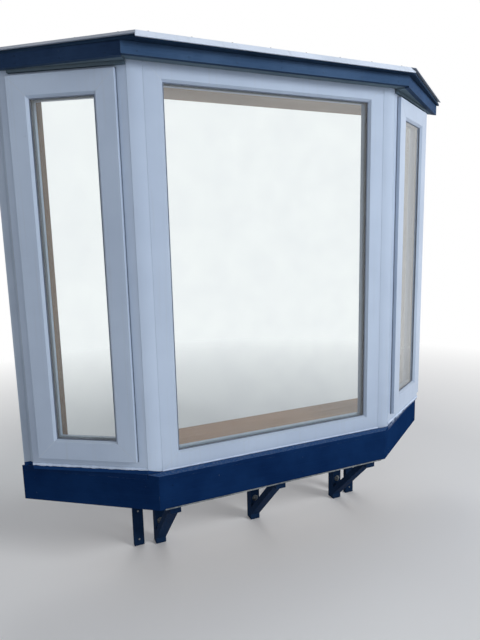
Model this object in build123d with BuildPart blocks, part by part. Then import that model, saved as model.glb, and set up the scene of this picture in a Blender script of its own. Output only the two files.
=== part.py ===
from build123d import *
import os
from math import atan2, cos, degrees, radians, sin, tan

# Three-sided canted bay window: a fixed centre light, a casement at each side, a closed
# timber base below and a shallow roof above. Millimetres, +X along the wall, +Y into the
# house, +Z up. The wall's outer face is Y = 0 and the origin is the middle of the face
# that the wall ledger turns to the wall.

# Plan of the bay
projection = 312.0          # wall face to the front of the centre frame
centre_width = 1025.0       # centre frame
post_width = 58.5           # corner post, seen from the front
cant_angle = 32.4           # side lights, turned back from the front
wall_gap = 2.0              # side frame's inner edge to the wall face

# Heights
base_top = 75.0             # top of the base board above the origin
centre_height = 1511.0      # centre frame
packer_height = 17.0        # packer under each side frame
head_packer = 2.0           # packer over each side frame

# Clearances
seat_gap = 0.2              # between pieces that rest on each other sideways
joint_gap = 0.3             # between frames, posts and mitred boards

# White plastic profiles, seen from the front and in depth
frame_depth = 65.0
centre_face = 62.0          # centre frame, outer edge to glazing bevel
side_face = 44.0            # side frame nib
stop_face = 62.0            # side frame stop behind the sash
stop_depth = 20.0
sash_margin = 36.0          # side frame left showing round the sash
sash_face = 70.5            # sash, outer edge to glazing bevel
sash_proud = 17.0
sash_depth = 60.0
sash_play = 2.0             # sash body to the frame's rebate
bevel_width = 8.5
bevel_depth = 10.0
lip_depth = 12.0            # front of the profile to the glass
edge_cover = 4.0            # rebate, outside the glazing bevel
glass_play = 2.0            # glass edge to the rebate
pane_thickness = 4.0
unit_thickness = 24.0
spacer_width = 9.0
spacer_inset = 1.0
bead_overlap = 17.0         # bead, inwards from the rebate
bead_slope = 9.0
nose_radius = 1.5

# Corner posts
post_bow = 3.5              # rise of the post's rounded face
trim_lap = 14.0
trim_thickness = 4.0

# Handles on the sashes
handle_height = 700.0       # above the bottom of the side frame
plate_width = 26.0
plate_height = 130.0
plate_depth = 9.0
lever_width = 17.0
lever_length = 118.0
lever_depth = 12.0
neck_radius = 9.0
neck_length = 26.0
corner_share = 0.4          # rounding of plate and lever, as a share of their width

# White jamb between the side frame and the wall
jamb_face = 24.0
jamb_thickness = 14.0
jamb_channel = 9.0          # between the frame's outer corner and the jamb's face
jamb_setback = 12.0

# Timber lining inside
lining_thickness = 20.0
lining_clearance = 0.5
reveal_width = 110.0
seat_level = 22.0           # underside of the seat board above the base board
seat_packer_width = 60.0
head_drop = 49.0            # underside of the head lining below the centre frame's top

# Base
base_board_thickness = 20.0
base_front = 28.0           # apron face in front of the centre frame
base_tuck = 34.0            # front corner of the apron, inside the bay's corner
base_angle = 35.4           # side aprons, turned back from the front
apron_height = 125.0
apron_thickness = 18.0
ledge_overhang = 2.0
ledge_fall = 5.0
ledger_height = 110.0
ledger_thickness = 45.0
ledger_clear = 20.0         # ledger's end to the apron
rim_thickness = 35.0
joist_width = 45.0
joist_share = 0.8           # outer joists, as a share of the way to the apron's corner
under_sheet = 6.0
drip_leg = 14.0
drip_upstand = 3.0
drip_thickness = 2.0
end_inset = 22.0            # drip angle, in from the apron's corner

# Brackets below the base
bracket_width = 45.0
bracket_timber = 45.0       # depth of leg and arm
bracket_drop = 330.0        # foot of the leg below the under sheet
bracket_clear = 6.0         # arm's end behind the drip angle
bracket_share = 0.875       # outer brackets, as a share of the way to the apron's corner
batten_share = 1.05         # wall battens beyond them
batten_thickness = 22.0
brace_width = 40.0
brace_end = 25.0            # brace, back from the ends of leg and arm

# Eaves and roof
fascia_front = 57.0         # fascia face in front of the centre frame
fascia_shift = 26.0         # fascia's corner beyond the bay's corner
fascia_angle = 36.5
soffit_thickness = 11.0     # over the front light
side_soffit_thickness = 17.0
fascia_drop = 0.5           # fascia's lower edge below the soffit
head_strip_height = 11.0    # strip on each side frame's head, below the soffit
head_strip_thickness = 12.0
fascia_thickness = 18.0
head_board_thickness = 29.0
deck_thickness = 18.0
edge_front = 91.0           # right corner of the white roof edge, in front of the centre frame
edge_shift = 31.0           # and beyond the bay's corner
edge_angle = 37.7
left_edge_front = 103.0     # left corner: the roof was laid a little askew
left_edge_shift = -14.0
left_edge_angle = 37.3
edge_lip = 7.0              # lip over the deck's edge
deck_chamfer = 8.0          # upper edge of the deck, under the leaning edge
edge_drop = 15.0            # front lip below the top of the deck
edge_nose = 2.0
edge_lean = 23.0            # slope of the white face, front to back
edge_rise = 11.0            # top of the white face above the deck
edge_top = 12.0
roof_start = 6.0            # roof sheet above the deck, at the edge
roof_rise = 46.0            # and at the wall
flashing_height = 40.0
flashing_end = 14.0         # its height at both ends
flashing_leg = 55.0
flashing_thickness = 2.5

os.makedirs("parts", exist_ok=True)

# Plan lines. The right side is worked out, and the left is its mirror image.
turn = radians(cant_angle)
front_y = -projection
corner_x = centre_width / 2 + post_width
base_corner_x = corner_x - base_tuck
side_length = (projection - wall_gap - frame_depth * cos(turn)) / sin(turn)
side_dir = (cos(turn), sin(turn), 0)
side_out = (sin(turn), -cos(turn), 0)
side_height = centre_height - packer_height - head_packer
side_bottom = base_top + packer_height
side_top = side_bottom + side_height
head_board_z = base_top + centre_height
soffit_z = head_board_z - soffit_thickness
side_soffit_z = head_board_z - side_soffit_thickness
lining_head = head_board_z - head_drop

centre_plane = Plane(origin=(-centre_width / 2, front_y, base_top), x_dir=(1, 0, 0), z_dir=(0, -1, 0))
side_plane = Plane(origin=(corner_x, front_y, side_bottom), x_dir=side_dir, z_dir=side_out)


def side_point(along, inward):
    """Plan point on the right side light: along its face from the post, and in from it."""
    return (
        corner_x + along * side_dir[0] - inward * side_out[0],
        front_y + along * side_dir[1] - inward * side_out[1],
    )


def bay_outline(front, corner, angle, inset=0.0, back=0.0, front_inset=None):
    """Three-sided outline in plan, moved in by the inset and ended at the back line."""
    slope = 1 / tan(radians(angle))
    shift = inset / sin(radians(angle))
    near = front + (inset if front_inset is None else front_inset)

    def side_x(y):
        return corner + (y - front) * slope - shift

    return [(-side_x(back), back), (-side_x(near), near), (side_x(near), near), (side_x(back), back)]


def frame_outline(inset):
    """Outline of the three lights' outer faces, carried on to the wall."""
    return bay_outline(front_y, corner_x, cant_angle, inset)


def base_outline(inset=0.0, back=0.0, front_inset=None):
    """Outline of the aprons' outer faces."""
    return bay_outline(front_y - base_front, base_corner_x, base_angle, inset, back, front_inset)


def fascia_outline(inset=0.0):
    return bay_outline(front_y - fascia_front, corner_x + fascia_shift, fascia_angle, inset)


def crossing(first, first_along, second, second_along):
    """Plan point where two lines meet."""
    cross = first_along.X * second_along.Y - first_along.Y * second_along.X
    between = Vector(*second) - Vector(*first)
    share = (between.X * second_along.Y - between.Y * second_along.X) / cross
    return (first[0] + share * first_along.X, first[1] + share * first_along.Y)


def edge_outline(inset=0.0):
    """Outline of the roof's edge, its three runs moved in by the inset and ended at the wall."""
    left_y = front_y - left_edge_front
    right_y = front_y - edge_front
    left_x = -corner_x - left_edge_shift
    right_x = corner_x + edge_shift
    corners = [
        (left_x + left_y / tan(radians(left_edge_angle)), 0),
        (left_x, left_y),
        (right_x, right_y),
        (right_x - right_y / tan(radians(edge_angle)), 0),
    ]
    runs = []
    for start, end in zip(corners, corners[1:]):
        along = (Vector(*end) - Vector(*start)).normalized()
        runs.append(((start[0] - inset * along.Y, start[1] + inset * along.X), along))
    wall = Vector(1, 0, 0)
    return [
        crossing(*runs[0], (0, 0), wall),
        crossing(*runs[0], *runs[1]),
        crossing(*runs[1], *runs[2]),
        crossing(*runs[2], (0, 0), wall),
    ]


def save(piece, name):
    piece.label = name
    export_step(piece, f"parts/{name}.step")


def save_pair(piece, name):
    """Write a right-hand piece and its mirror image."""
    save(piece, f"right_{name}")
    save(mirror(piece, about=Plane.YZ), f"left_{name}")


def save_both(piece, name):
    """Write a right-hand piece and its mirror image as one node."""
    save(Compound([piece, mirror(piece, about=Plane.YZ)]), name)


def prism(points, bottom, height):
    """Upright prism over a plan polygon."""
    with BuildPart() as piece:
        with BuildSketch(Plane.XY.offset(bottom)):
            with BuildLine():
                Polyline(*points, close=True)
            make_face()
        extrude(amount=height)
    return piece.part


def mitred_boards(outer, inner, bottom, height):
    """Front board and right side board between two outlines, cut at the mitre."""
    along = (Vector(*outer[3]) - Vector(*outer[2])).normalized() * joint_gap
    start_outer = (outer[2][0] + along.X, outer[2][1] + along.Y)
    start_inner = (inner[2][0] + along.X, inner[2][1] + along.Y)
    front_board = prism([outer[1], outer[2], inner[2], inner[1]], bottom, height)
    side_board = prism([start_outer, outer[3], inner[3], start_inner], bottom, height)
    return front_board, side_board


def run_plane(start, end):
    """Plane square to a run in plan: x points inwards, y up, z along the run."""
    along = (Vector(*end) - Vector(*start)).normalized()
    return Plane(origin=start, x_dir=(-along.Y, along.X, 0), z_dir=(along.X, along.Y, 0))


def upright_plane(start, end):
    """Upright plane through two plan points, its normal to the right of the way between them."""
    along = (Vector(*end) - Vector(*start)).normalized()
    return Plane(origin=start, x_dir=(along.X, along.Y, 0), z_dir=(along.Y, -along.X, 0))


def rectangle(width, height, inset):
    """Rectangle in a light's plane, inset from the frame's outer edge."""
    with Locations((width / 2, height / 2)):
        Rectangle(width - 2 * inset, height - 2 * inset)


def ring(plane, width, height, outer, inner, front, back):
    """Flat ring between two insets and two depths behind the light's plane."""
    with BuildSketch(plane.offset(-front)) as outline:
        rectangle(width, height, outer)
        with Locations((width / 2, height / 2)):
            Rectangle(width - 2 * inner, height - 2 * inner, mode=Mode.SUBTRACT)
    extrude(outline.sketch, amount=-(back - front))


def cut_bevel(plane, width, height, inset, front):
    """Sloped glazing edge cut into the front of a profile."""
    with BuildSketch(plane.offset(-front)) as outline:
        rectangle(width, height, inset)
    slope = degrees(atan2(bevel_width, bevel_depth))
    extrude(outline.sketch, amount=-bevel_depth, taper=slope, mode=Mode.SUBTRACT)


def round_nose(plane, width, height, inset, front):
    """Small radius on the outer edges of a face."""
    def on_outline(edge):
        spot = plane.to_local_coords(edge.center())
        level = abs(spot.Z + front) < joint_gap
        upright = min(abs(spot.X - inset), abs(spot.X - width + inset)) < joint_gap
        flat = min(abs(spot.Y - inset), abs(spot.Y - height + inset)) < joint_gap
        return level and (upright or flat)
    fillet(edges().filter_by(on_outline), nose_radius)


# Plastic frames, sashes, glass and beads
def build_frame(plane, width, height):
    """Fixed frame with its glass rebate open to the room."""
    with BuildPart() as frame:
        ring(plane, width, height, 0, centre_face - edge_cover, 0, frame_depth)
        ring(plane, width, height, centre_face - edge_cover, centre_face + bevel_width, 0, lip_depth)
        cut_bevel(plane, width, height, centre_face, 0)
    return frame.part


def build_side_frame(plane, width, height):
    """Casement frame: a nib at the front and a wider stop behind the sash."""
    with BuildPart() as frame:
        ring(plane, width, height, 0, side_face, 0, frame_depth)
        ring(plane, width, height, side_face, stop_face, frame_depth - stop_depth, frame_depth)
    return frame.part


def build_sash(plane, width, height):
    """Casement sash, its front lip lapping the frame."""
    daylight = sash_margin + sash_face
    body = side_face + sash_play
    lip_back = lip_depth - sash_proud
    back = sash_depth - sash_proud
    with BuildPart() as sash:
        ring(plane, width, height, sash_margin, daylight + bevel_width, -sash_proud, lip_back)
        ring(plane, width, height, sash_margin, daylight - edge_cover, lip_back, -joint_gap)
        ring(plane, width, height, body, daylight - edge_cover, -joint_gap, back)
        cut_bevel(plane, width, height, daylight, -sash_proud)
        round_nose(plane, width, height, sash_margin, -sash_proud)
    return sash.part


def build_glass(plane, width, height, rebate, front):
    """Two panes of a sealed unit, as separate solids."""
    with BuildPart() as glass:
        for depth in (front, front + unit_thickness - pane_thickness):
            with BuildSketch(plane.offset(-depth)) as pane:
                rectangle(width, height, rebate + glass_play)
            extrude(pane.sketch, amount=-pane_thickness)
    return glass.part


def build_spacer(plane, width, height, rebate, front):
    """Spacer bar between the panes."""
    edge = rebate + glass_play + spacer_inset
    with BuildPart() as spacer:
        ring(
            plane, width, height, edge, edge + spacer_width,
            front + pane_thickness + seat_gap, front + unit_thickness - pane_thickness - seat_gap,
        )
    return spacer.part


def build_bead(plane, width, height, rebate, front, back):
    """Glazing bead on the room side, sloped towards the glass."""
    with BuildPart() as bead:
        ring(plane, width, height, rebate + seat_gap, rebate + bead_overlap, front, back)
        with BuildSketch(plane.offset(-back)) as slope:
            rectangle(width, height, rebate + bead_overlap - bead_slope)
        extrude(slope.sketch, amount=bead_slope, taper=45, mode=Mode.SUBTRACT)
    return bead.part


centre_rebate = centre_face - edge_cover
centre_glass = lip_depth + seat_gap
centre = (centre_plane, centre_width, centre_height)
save(build_frame(*centre), "centre_frame")
save(build_glass(*centre, centre_rebate, centre_glass), "centre_glass")
save(
    build_bead(*centre, centre_rebate, centre_glass + unit_thickness + seat_gap, frame_depth),
    "centre_bead",
)

sash_rebate = sash_margin + sash_face - edge_cover
sash_back = sash_depth - sash_proud
side_glass = lip_depth - sash_proud + seat_gap
side = (side_plane, side_length, side_height)
save_pair(build_side_frame(*side), "frame")
save_pair(build_sash(*side), "sash")
save_pair(build_glass(*side, sash_rebate, side_glass), "glass")
save_pair(build_bead(*side, sash_rebate, side_glass + unit_thickness + seat_gap, sash_back), "bead")

side_spacer = build_spacer(*side, sash_rebate, side_glass)
save(
    Compound([
        build_spacer(*centre, centre_rebate, centre_glass),
        side_spacer,
        mirror(side_spacer, about=Plane.YZ),
    ]),
    "glass_spacers",
)

# Corner posts, with a rounded face outside
post_left = centre_width / 2 + joint_gap
outer_x, outer_y = side_point(-joint_gap, 0)
inner_x, inner_y = side_point(-joint_gap, frame_depth)
with BuildPart() as post:
    with BuildSketch(Plane.XY.offset(base_top)):
        with BuildLine():
            ThreePointArc(
                (post_left, front_y),
                ((post_left + outer_x) / 2, front_y - post_bow),
                (outer_x, outer_y),
            )
            Polyline(
                (outer_x, outer_y), (inner_x, inner_y), (post_left, front_y + frame_depth), (post_left, front_y)
            )
        make_face()
    extrude(amount=centre_height)
save_pair(post.part, "post")

# Flat trims that cover the inner joints of the posts, between seat and head lining
seat_top = base_top + seat_level + lining_thickness
trim_front = frame_depth + seat_gap
trim_bend = frame_outline(trim_front)[2]
trim_end = (trim_bend[0] - side_point(0, trim_front)[0]) / side_dir[0] + trim_lap
trim = prism(
    [
        (post_left - trim_lap, front_y + trim_front),
        trim_bend,
        side_point(trim_end, trim_front),
        side_point(trim_end, trim_front + trim_thickness),
        frame_outline(trim_front + trim_thickness)[2],
        (post_left - trim_lap, front_y + trim_front + trim_thickness),
    ],
    seat_top, lining_head - seat_top,
)
save_both(trim, "post_trims")

# Sash handles, on the stile beside each post
handle_plane = side_plane.offset(-sash_back)
handle_u = (stop_face + sash_rebate) / 2
lever_v = handle_height - lever_length / 2 + neck_radius
with BuildPart() as handle:
    with BuildSketch(handle_plane):
        with Locations((handle_u, handle_height)):
            RectangleRounded(plate_width, plate_height, plate_width * corner_share)
    extrude(amount=-plate_depth)
    with BuildSketch(handle_plane.offset(-plate_depth)):
        with Locations((handle_u, handle_height)):
            Circle(neck_radius)
    extrude(amount=-neck_length)
    with BuildSketch(handle_plane.offset(-plate_depth - neck_length + lever_depth)):
        with Locations((handle_u, lever_v)):
            RectangleRounded(lever_width, lever_length, lever_width * corner_share)
    extrude(amount=-lever_depth)
save_both(handle.part, "sash_handles")

# White jambs between the side frames and the wall
jamb_in = side_point(side_length, 0)[0] + jamb_channel
jamb_end = side_length + joint_gap
heel = side_point(jamb_end, frame_depth)
lining = frame_outline(frame_depth + lining_clearance)
jamb = prism(
    [
        (lining[3][0] + joint_gap, 0),
        (jamb_in + jamb_face, 0),
        (jamb_in + jamb_face, -jamb_thickness),
        (jamb_in, -jamb_thickness),
        side_point(jamb_end, jamb_setback),
        heel,
    ],
    side_bottom, side_soffit_z - side_bottom,
)
save_pair(jamb, "wall_jamb")

# Timber lining: seat board on its packers, head lining and reveal boards
save(prism(lining, base_top + seat_level, lining_thickness), "seat_board")
save(prism(lining, lining_head, lining_thickness), "head_lining")
reveal_x = lining[3][0] - reveal_width
reveal_shift = lining_thickness / tan(turn)
reveal = prism(
    [
        (reveal_x, 0),
        (reveal_x, -lining_thickness),
        (lining[3][0] - reveal_shift, -lining_thickness),
        (lining[3][0], 0),
    ],
    seat_top, lining_head - seat_top,
)
save_both(reveal, "reveal_boards")
joist_spacing = joist_share * base_corner_x
packer_length = -lining[1][1] - seat_packer_width
with BuildPart() as seat_packers:
    with BuildSketch(Plane.XY.offset(base_top)):
        with Locations((0, lining[1][1] / 2)):
            with GridLocations(joist_spacing, 0, 3, 1):
                Rectangle(seat_packer_width, packer_length)
    extrude(amount=seat_level)
save(seat_packers.part, "seat_packers")

# Packers under and over each side frame
packer_plan = [
    side_point(0, seat_gap),
    side_point(side_length, seat_gap),
    side_point(side_length, frame_depth),
    side_point(0, frame_depth),
]
save_pair(
    Compound([
        prism(packer_plan, base_top, packer_height),
        prism(packer_plan, side_top, head_board_z - side_top),
    ]),
    "packers",
)

# Base: board, ledge, aprons, ledger, rim, joists and the sheet under them
board_z = base_top - base_board_thickness
apron_bottom = board_z - apron_height
ledge_back = front_y - joint_gap
save(prism(base_outline(front_inset=base_front), board_z, base_board_thickness), "base_board")

front_apron, side_apron = mitred_boards(
    base_outline(), base_outline(apron_thickness), apron_bottom, apron_height
)
save(front_apron, "front_apron")
save_pair(side_apron, "apron")

ledge_front = front_y - base_front - ledge_overhang
ledge_depth = ledge_back - ledge_front
left_line = upright_plane(base_outline()[0], base_outline()[1])
right_line = upright_plane(base_outline()[2], base_outline()[3])
with BuildPart() as ledge:
    with BuildSketch(run_plane((-corner_x, ledge_front), (corner_x, ledge_front))):
        with BuildLine():
            Polyline(
                (0, board_z), (0, base_top - ledge_fall), (ledge_depth, base_top), (ledge_depth, board_z),
                close=True,
            )
        make_face()
    extrude(amount=2 * corner_x)
    split(bisect_by=left_line, keep=Keep.BOTTOM)
    split(bisect_by=right_line, keep=Keep.BOTTOM)
save(ledge.part, "front_ledge")

rim_inset = apron_thickness + seat_gap
ledger_z = board_z - ledger_height
ledger_half = base_outline(rim_inset, -ledger_thickness)[3][0] - ledger_clear
with BuildPart() as ledger:
    with Locations((0, -ledger_thickness / 2, board_z - ledger_height / 2)):
        Box(2 * ledger_half, ledger_thickness, ledger_height)
save(ledger.part, "wall_ledger")

rim_back = -ledger_thickness - joint_gap
front_rim, side_rim = mitred_boards(
    base_outline(rim_inset, rim_back), base_outline(rim_inset + rim_thickness, rim_back),
    ledger_z, ledger_height,
)
joist_front = base_outline(rim_inset + rim_thickness)[1][1] + joint_gap
with BuildPart() as joists:
    with Locations((0, (joist_front + rim_back) / 2, board_z - ledger_height / 2)):
        with GridLocations(joist_spacing, 0, 3, 1):
            Box(joist_width, rim_back - joist_front, ledger_height)
save(Compound([front_rim, side_rim, mirror(side_rim, about=Plane.YZ), *joists.solids()]), "base_frame")
save(prism(base_outline(rim_inset), ledger_z - under_sheet, under_sheet), "base_soffit")

# Thin metal angle under the front apron's lower edge
drip_half = base_corner_x - end_inset
apron_front = front_y - base_front
drip_y = apron_front - seat_gap
drip_z = apron_bottom - seat_gap
with BuildPart() as drip:
    with BuildSketch(run_plane((-drip_half, drip_y), (drip_half, drip_y))):
        with BuildLine():
            Polyline(
                (0, drip_z + drip_upstand), (-drip_thickness, drip_z + drip_upstand),
                (-drip_thickness, drip_z - drip_thickness), (drip_leg, drip_z - drip_thickness),
                (drip_leg, drip_z), (0, drip_z), close=True,
            )
        make_face()
    extrude(amount=2 * drip_half)
save(drip.part, "apron_drip")

# Timber brackets below the base: leg on the wall, arm and brace
bracket_top = ledger_z - under_sheet
bracket_foot = bracket_top - bracket_drop
bracket_reach = -drip_y - drip_leg - bracket_clear
arm_under = bracket_top - bracket_timber
with BuildPart() as bracket:
    with BuildSketch(Plane.YZ.offset(-bracket_width / 2)):
        with BuildLine():
            Polyline(
                (0, bracket_top), (-bracket_reach, bracket_top), (-bracket_reach, arm_under),
                (-bracket_timber, arm_under), (-bracket_timber, bracket_foot), (0, bracket_foot),
                close=True,
            )
        make_face()
        with BuildLine():
            Polyline(
                (-bracket_timber, bracket_foot + brace_end),
                (-bracket_reach + brace_end, arm_under),
                (-bracket_reach + brace_end + brace_width, arm_under),
                (-bracket_timber, bracket_foot + brace_end + brace_width),
                close=True,
            )
        make_face()
    extrude(amount=bracket_width)
bracket_x = bracket_share * base_corner_x
save(
    Compound([bracket.part.moved(Location((x, 0, 0))) for x in (-bracket_x, 0, bracket_x)]),
    "brackets",
)

# Battens on the wall beside the outer brackets
with BuildPart() as batten:
    with Locations((batten_share * base_corner_x, -batten_thickness / 2, (bracket_top + bracket_foot) / 2)):
        Box(bracket_width, batten_thickness, bracket_drop)
save_both(batten.part, "wall_battens")

# Eaves: head board, soffit, fascia and deck
fascia_inside = fascia_thickness + seat_gap
deck_z = head_board_z + head_board_thickness
fascia_z = soffit_z - fascia_drop
side_fascia_z = side_soffit_z - fascia_drop
save(prism(fascia_outline(fascia_inside), head_board_z, head_board_thickness), "head_board")

fascia_lines = (fascia_outline(), fascia_outline(fascia_thickness))
save(mitred_boards(*fascia_lines, fascia_z, deck_z - fascia_z)[0], "front_fascia")
save_pair(mitred_boards(*fascia_lines, side_fascia_z, deck_z - side_fascia_z)[1], "fascia")

soffit_outer = fascia_outline(fascia_inside)
soffit_inner = frame_outline(-post_bow - joint_gap)
frame_end = side_point(side_length, -post_bow - joint_gap)
soffit_lines = (soffit_outer, [soffit_inner[0], soffit_inner[1], soffit_inner[2], frame_end])
front_soffit = mitred_boards(*soffit_lines, soffit_z, soffit_thickness)[0]
side_soffit = mitred_boards(*soffit_lines, side_soffit_z, side_soffit_thickness)[1]
wall_soffit = prism(
    [
        (frame_end[0] + joint_gap, frame_end[1]),
        soffit_outer[3],
        (frame_end[0] + joint_gap, 0),
    ],
    side_soffit_z, side_soffit_thickness,
)
save(
    Compound([
        front_soffit, side_soffit, wall_soffit,
        mirror(side_soffit, about=Plane.YZ), mirror(wall_soffit, about=Plane.YZ),
    ]),
    "eaves_soffit",
)

# Painted strips on the heads of the side frames, up to the soffit
strip_start = side_point(0, -head_strip_thickness)
fascia_run = (Vector(*soffit_outer[3]) - Vector(*soffit_outer[2])).normalized()
strip_corner = crossing(strip_start, Vector(*side_dir), soffit_outer[2], fascia_run)
head_strip_end = (strip_corner[0] - strip_start[0]) / side_dir[0]
head_strip = prism(
    [
        side_point(0, -joint_gap),
        side_point(head_strip_end, -joint_gap),
        side_point(head_strip_end, -head_strip_thickness),
        strip_start,
    ],
    side_soffit_z - head_strip_height, head_strip_height - joint_gap,
)
save_both(head_strip, "head_strips")


def on_edge(edge):
    """Upper outer edges of the deck, away from the wall."""
    return edge.center().Z > deck_z + deck_thickness - seat_gap and edge.center().Y < -seat_gap


deck_line = edge_outline(edge_lip + seat_gap)
with BuildPart() as deck:
    add(prism(deck_line, deck_z, deck_thickness))
    chamfer(edges().filter_by(on_edge), deck_chamfer)
save(deck.part, "roof_deck")

# White roof edge, a leaning nosing over the deck's edge
deck_top = deck_z + deck_thickness
edge_line = edge_outline()
edge_inner = edge_outline(edge_lean)
left_mitre = upright_plane(edge_inner[1], edge_line[1])
right_mitre = upright_plane(edge_line[2], edge_inner[2])


def edge_run(start, end, drop):
    """Nosing along one edge with its lip at a drop below the deck, carried past both ends."""
    outline = [
        (0, deck_top - drop),
        (0, deck_top - drop + edge_nose),
        (edge_lean, deck_top + edge_rise),
        (edge_lean + edge_top, deck_top + edge_rise),
        (edge_lean + edge_top, deck_top + seat_gap),
    ]
    if drop >= deck_chamfer:
        outline.append((edge_lip + deck_chamfer + seat_gap, deck_top + seat_gap))
        outline.append((edge_lip, deck_top - deck_chamfer))
    if drop > deck_chamfer:
        outline.append((edge_lip, deck_top - drop))
    plane = run_plane(start, end)
    with BuildPart() as run:
        with BuildSketch(plane.offset(-edge_front)):
            with BuildLine():
                Polyline(*outline, close=True)
            make_face()
        extrude(amount=(Vector(*end) - Vector(*start)).length + 2 * edge_front)
    return run.part


def side_edge(start, end, drop, mitre):
    """Nosing from the mitre to the wall."""
    with BuildPart() as edge:
        add(edge_run(start, end, drop))
        split(bisect_by=mitre.offset(joint_gap), keep=Keep.TOP)
        split(bisect_by=Plane.XZ, keep=Keep.TOP)
    return edge.part


with BuildPart() as front_edge:
    add(edge_run(edge_line[1], edge_line[2], edge_drop))
    split(bisect_by=right_mitre, keep=Keep.BOTTOM)
    split(bisect_by=left_mitre, keep=Keep.BOTTOM)
save(front_edge.part, "front_roof_edge")
save(side_edge(edge_line[0], edge_line[1], deck_chamfer, left_mitre), "left_roof_edge")
save(side_edge(edge_line[2], edge_line[3], -seat_gap, right_mitre), "right_roof_edge")

# Roof sheet: three slopes rising from the edge to the wall
roof_inset = edge_lean + edge_top + joint_gap
roof_line = edge_outline(roof_inset)
pitch = atan2(roof_rise - roof_start, -roof_line[1][1])


def slope_plane(start, end):
    """Plane rising inwards from a roof edge, its normal upwards."""
    along = (Vector(*end) - Vector(*start)).normalized()
    up = Vector(along.Y * sin(pitch), -along.X * sin(pitch), cos(pitch))
    return Plane(origin=(start[0], start[1], deck_top + roof_start), x_dir=along, z_dir=up)


with BuildPart() as roof:
    with BuildSketch(Plane.XY.offset(deck_top + seat_gap)):
        with BuildLine():
            Polyline(*roof_line, close=True)
        make_face()
    extrude(amount=2 * roof_rise)
    split(bisect_by=slope_plane(roof_line[0], roof_line[1]), keep=Keep.BOTTOM)
    split(bisect_by=slope_plane(roof_line[1], roof_line[2]), keep=Keep.BOTTOM)
    split(bisect_by=slope_plane(roof_line[2], roof_line[3]), keep=Keep.BOTTOM)
save(roof.part, "roof_sheet")

# Metal strip along the wall, lying on the roof and turned up the wall
left_rise = (Vector(*roof_line[0]) - Vector(*roof_line[1])).normalized().Y
right_rise = (Vector(*roof_line[3]) - Vector(*roof_line[2])).normalized().Y
left_end = roof_line[0][0] + 2 * flashing_thickness
right_end = roof_line[3][0] - 2 * flashing_thickness
left_ridge = roof_line[0][0] - roof_line[1][1] / left_rise
right_ridge = roof_line[3][0] + roof_line[2][1] / right_rise
strip_foot = deck_top + roof_start
strip_top = deck_top + roof_rise + flashing_height
with BuildPart() as flashing:
    add(roof.part.moved(Location((0, 0, flashing_thickness + seat_gap))))
    with Locations((0, -flashing_leg / 2, strip_foot)):
        Box(2 * (right_end - left_end), flashing_leg, 4 * roof_rise, mode=Mode.INTERSECT)
    with BuildSketch(Plane.XZ):
        with BuildLine():
            Polyline(
                (left_end, strip_foot), (right_end, strip_foot), (right_end, strip_foot + flashing_end),
                (right_ridge, strip_top), (left_ridge, strip_top), (left_end, strip_foot + flashing_end),
                close=True,
            )
        make_face()
    extrude(amount=flashing_thickness)
    add(roof.part.moved(Location((0, 0, seat_gap))), mode=Mode.SUBTRACT)
save(flashing.part, "wall_flashing")
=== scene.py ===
import math
import bmesh
import bpy
from mathutils import Matrix, Vector


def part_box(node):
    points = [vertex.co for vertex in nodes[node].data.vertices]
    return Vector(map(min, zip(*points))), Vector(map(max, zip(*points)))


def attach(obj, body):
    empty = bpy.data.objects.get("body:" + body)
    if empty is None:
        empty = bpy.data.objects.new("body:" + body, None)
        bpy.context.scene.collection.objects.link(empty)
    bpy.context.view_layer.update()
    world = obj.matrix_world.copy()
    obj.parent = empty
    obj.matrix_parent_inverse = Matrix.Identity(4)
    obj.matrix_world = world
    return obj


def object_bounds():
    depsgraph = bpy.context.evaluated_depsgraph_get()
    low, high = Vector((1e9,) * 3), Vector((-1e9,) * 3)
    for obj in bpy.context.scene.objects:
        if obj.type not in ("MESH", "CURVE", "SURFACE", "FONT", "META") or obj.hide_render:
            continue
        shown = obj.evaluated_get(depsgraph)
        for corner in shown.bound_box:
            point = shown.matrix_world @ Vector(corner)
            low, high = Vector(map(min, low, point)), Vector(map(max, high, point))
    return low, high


# Canted bay window with a fixed centre light, two side casements, a white roof edge and a
# painted timber base. Metres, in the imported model's frame: X along the wall, Y into the
# house, Z up. The wall's face is Y = 0.
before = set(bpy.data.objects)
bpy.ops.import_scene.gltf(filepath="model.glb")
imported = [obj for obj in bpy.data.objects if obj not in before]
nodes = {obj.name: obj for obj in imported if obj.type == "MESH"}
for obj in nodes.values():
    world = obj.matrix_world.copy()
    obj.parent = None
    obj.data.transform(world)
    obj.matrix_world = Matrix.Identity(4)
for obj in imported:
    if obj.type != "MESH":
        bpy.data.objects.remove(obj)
cad_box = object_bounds()
scene = bpy.context.scene

# Driving sizes, the same as in the part's source
PROJECTION = 0.312
CENTRE_WIDTH = 1.025
CENTRE_HEIGHT = 1.511
POST_WIDTH = 0.0585
CANT = math.radians(32.4)
BASE_CANT = math.radians(35.4)
EAVES_CANT = math.radians(36.5)
EDGE_CANT = math.radians(37.7)
BASE_TOP = 0.075
SIDE_PACKER = 0.017
HEAD_PACKER = 0.002
FRAME_DEPTH = 0.065
WALL_GAP = 0.002
CENTRE_FACE = 0.062
SASH_MARGIN = 0.036
SASH_FACE = 0.0705
SASH_PROUD = 0.017
BEVEL_WIDTH = 0.0085
BEVEL_DEPTH = 0.010
LIP_DEPTH = 0.0122
JOINT = 0.0003
BRACKET_TIMBER = 0.045

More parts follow.
